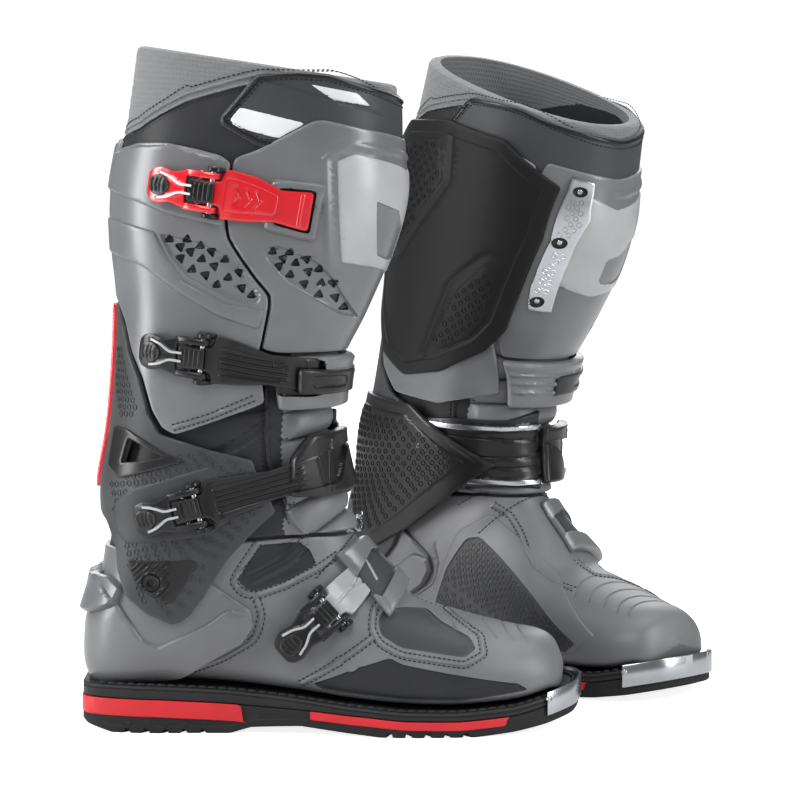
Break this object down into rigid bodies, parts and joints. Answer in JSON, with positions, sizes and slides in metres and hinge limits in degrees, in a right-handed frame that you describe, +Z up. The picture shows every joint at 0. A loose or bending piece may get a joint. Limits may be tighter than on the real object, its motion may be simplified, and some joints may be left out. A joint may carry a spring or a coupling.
{
  "type": "riding boots",
  "caption": "Pair of off-road riding boots with hinged shells over a padded liner, four over-centre buckles each and screwed soles.",
  "frame": {"origin": "on the ground, at the middle of the box round both boots as they stand", "axes": "+Z up, +X from the heel of the right boot to its toe, +Y from the right boot towards the left boot"},
  "size_m": [0.4148, 0.389, 0.4331],
  "materials": {
    "grey_shell": "satin moulded",
    "grey_upper": "coated microfibre",
    "dark_leather": "matte grained",
    "knit": "knitted",
    "grip_rubber": "matte textured",
    "black_plastic": "satin",
    "light_plastic": "satin",
    "red_plastic": "glossy",
    "red_insert": "satin",
    "welt": "matte",
    "sole_rubber": "matte",
    "steel": "brushed"
  },
  "bodies": {
    "right_foot": {"right_outsole": "sole_rubber", "right_midsole": "welt", "right_heel_insert": "red_insert", "right_forefoot_insert": "red_insert", "right_toe_plate": "steel", "right_foot_upper": "grey_upper", "right_heel_counter": "grey_shell", "right_pivot_bolt_outer": "black_plastic", "right_pivot_bolt_inner": "black_plastic", "right_catch_4": "light_plastic", "right_bellows": "dark_leather"},
    "right_cuff": {"right_ankle_shell": "grey_upper", "right_calf_shell": "grey_shell", "right_shin_plate": "grey_shell", "right_spine_strip": "red_plastic", "right_heat_guard": "grip_rubber", "right_ankle_guard": "black_plastic", "right_side_plate": "steel", "right_liner": "knit", "right_catch_2": "grey_shell", "right_catch_3": "black_plastic", "right_ankle_band": "black_plastic"},
    "right_lever_1": {"right_lever_1": "red_plastic"},
    "right_strap_1": {"right_strap_1": "red_plastic"},
    "right_lever_2": {"right_lever_2": "black_plastic"},
    "right_strap_2": {"right_strap_2": "black_plastic"},
    "right_lever_3": {"right_lever_3": "black_plastic"},
    "right_strap_3": {"right_strap_3": "black_plastic"},
    "right_lever_4": {"right_lever_4": "black_plastic"},
    "right_strap_4": {"right_strap_4": "light_plastic"},
    "left_foot": {"left_outsole": "sole_rubber", "left_midsole": "welt", "left_heel_insert": "red_insert", "left_forefoot_insert": "red_insert", "left_toe_plate": "steel", "left_foot_upper": "grey_upper", "left_heel_counter": "grey_shell", "left_pivot_bolt_outer": "black_plastic", "left_pivot_bolt_inner": "black_plastic", "left_catch_4": "light_plastic", "left_bellows": "dark_leather"},
    "left_cuff": {"left_ankle_shell": "grey_upper", "left_calf_shell": "grey_shell", "left_shin_plate": "grey_shell", "left_spine_strip": "red_plastic", "left_heat_guard": "grip_rubber", "left_ankle_guard": "black_plastic", "left_side_plate": "steel", "left_liner": "knit", "left_catch_2": "grey_shell", "left_catch_3": "black_plastic", "left_ankle_band": "black_plastic"},
    "left_lever_1": {"left_lever_1": "red_plastic"},
    "left_strap_1": {"left_strap_1": "red_plastic"},
    "left_lever_2": {"left_lever_2": "black_plastic"},
    "left_strap_2": {"left_strap_2": "black_plastic"},
    "left_lever_3": {"left_lever_3": "black_plastic"},
    "left_strap_3": {"left_strap_3": "black_plastic"},
    "left_lever_4": {"left_lever_4": "black_plastic"},
    "left_strap_4": {"left_strap_4": "light_plastic"}
  },
  "joints": [
    {"name": "right_cuff_flex", "type": "hinge", "parent": "right_foot", "child": "right_cuff", "pos_m": [-0.15878, -0.12274, 0.097], "axis": [0, 1, 0], "range_deg": [-4, 12], "stiffness_Nm_per_rad": 60, "deforming": ["right_bellows"]},
    {"name": "right_lever_1_open", "type": "hinge", "parent": "right_cuff", "child": "right_lever_1", "pos_m": [-0.11987, -0.18916, 0.3423], "axis": [0.1452, -0.0119, 0.9893], "range_deg": [0, 90]},
    {"name": "right_strap_1_swing", "type": "hinge", "parent": "right_lever_1", "child": "right_strap_1", "pos_m": [-0.12728, -0.18637, 0.34342], "axis": [0.1452, -0.0119, 0.9893], "range_deg": [-121, 1]},
    {"name": "right_lever_2_open", "type": "hinge", "parent": "right_cuff", "child": "right_lever_2", "pos_m": [-0.12668, -0.18374, 0.23945], "axis": [0.107, -0.0748, 0.9914], "range_deg": [0, 90]},
    {"name": "right_strap_2_swing", "type": "hinge", "parent": "right_lever_2", "child": "right_strap_2", "pos_m": [-0.13403, -0.18076, 0.24047], "axis": [0.107, -0.0748, 0.9914], "range_deg": [-121, 1]},
    {"name": "right_lever_3_open", "type": "hinge", "parent": "right_cuff", "child": "right_lever_3", "pos_m": [-0.13049, -0.17871, 0.14593], "axis": [-0.2389, 0.0335, 0.9705], "range_deg": [0, 90]},
    {"name": "right_strap_3_swing", "type": "hinge", "parent": "right_lever_3", "child": "right_strap_3", "pos_m": [-0.13798, -0.17669, 0.14401], "axis": [-0.2389, 0.0335, 0.9705], "range_deg": [-121, 1]},
    {"name": "right_lever_4_open", "type": "hinge", "parent": "right_foot", "child": "right_lever_4", "pos_m": [-0.04791, -0.16583, 0.07992], "axis": [-0.6821, 0.1145, 0.7222], "range_deg": [0, 90]},
    {"name": "right_strap_4_swing", "type": "hinge", "parent": "right_lever_4", "child": "right_strap_4", "pos_m": [-0.05375, -0.16641, 0.07449], "axis": [-0.6821, 0.1145, 0.7222], "range_deg": [-121, 1]},
    {"name": "left_boot_lift", "type": "slide", "parent": "right_foot", "child": "left_foot", "axis": [0, 0, 1], "range_m": [0, 0.3]},
    {"name": "left_cuff_flex", "type": "hinge", "parent": "left_foot", "child": "left_cuff", "pos_m": [0.00327, 0.1436, 0.097], "axis": [0.7071, 0.7071, 0], "range_deg": [-13, 3], "stiffness_Nm_per_rad": 60, "deforming": ["left_bellows"]},
    {"name": "left_lever_1_open", "type": "hinge", "parent": "left_cuff", "child": "left_lever_1", "pos_m": [0.10456, 0.13626, 0.33319], "axis": [-0.2192, 0.2024, -0.9544], "range_deg": [0, 90]},
    {"name": "left_strap_1_swing", "type": "hinge", "parent": "left_lever_1", "child": "left_strap_1", "pos_m": [0.09753, 0.13934, 0.33546], "axis": [-0.2192, 0.2024, -0.9544], "range_deg": [-121, 1]},
    {"name": "left_lever_2_open", "type": "hinge", "parent": "left_cuff", "child": "left_lever_2", "pos_m": [0.08459, 0.14856, 0.23268], "axis": [-0.2373, 0.1315, -0.9625], "range_deg": [0, 90]},
    {"name": "left_strap_2_swing", "type": "hinge", "parent": "left_lever_2", "child": "left_strap_2", "pos_m": [0.07746, 0.15147, 0.23483], "axis": [-0.2373, 0.1315, -0.9625], "range_deg": [-121, 1]},
    {"name": "left_lever_3_open", "type": "hinge", "parent": "left_cuff", "child": "left_lever_3", "pos_m": [0.06803, 0.15801, 0.1409], "axis": [0.0832, -0.0358, -0.9959], "range_deg": [0, 90]},
    {"name": "left_strap_3_swing", "type": "hinge", "parent": "left_lever_3", "child": "left_strap_3", "pos_m": [0.06115, 0.16202, 0.14018], "axis": [0.0832, -0.0358, -0.9959], "range_deg": [-121, 1]},
    {"name": "left_lever_4_open", "type": "hinge", "parent": "left_foot", "child": "left_lever_4", "pos_m": [0.11215, 0.09567, 0.07992], "axis": [0.5633, -0.4014, -0.7222], "range_deg": [0, 90]},
    {"name": "left_strap_4_swing", "type": "hinge", "parent": "left_lever_4", "child": "left_strap_4", "pos_m": [0.10842, 0.10022, 0.07449], "axis": [0.5633, -0.4014, -0.7222], "range_deg": [-121, 1]}
  ],
  "couplings": [
    {"joint": "right_strap_1_swing", "follows": "right_lever_1_open", "ratio": -1.3333},
    {"joint": "right_strap_2_swing", "follows": "right_lever_2_open", "ratio": -1.3333},
    {"joint": "right_strap_3_swing", "follows": "right_lever_3_open", "ratio": -1.3333},
    {"joint": "right_strap_4_swing", "follows": "right_lever_4_open", "ratio": -1.3333},
    {"joint": "left_strap_1_swing", "follows": "left_lever_1_open", "ratio": -1.3333},
    {"joint": "left_strap_2_swing", "follows": "left_lever_2_open", "ratio": -1.3333},
    {"joint": "left_strap_3_swing", "follows": "left_lever_3_open", "ratio": -1.3333},
    {"joint": "left_strap_4_swing", "follows": "left_lever_4_open", "ratio": -1.3333}
  ]
}
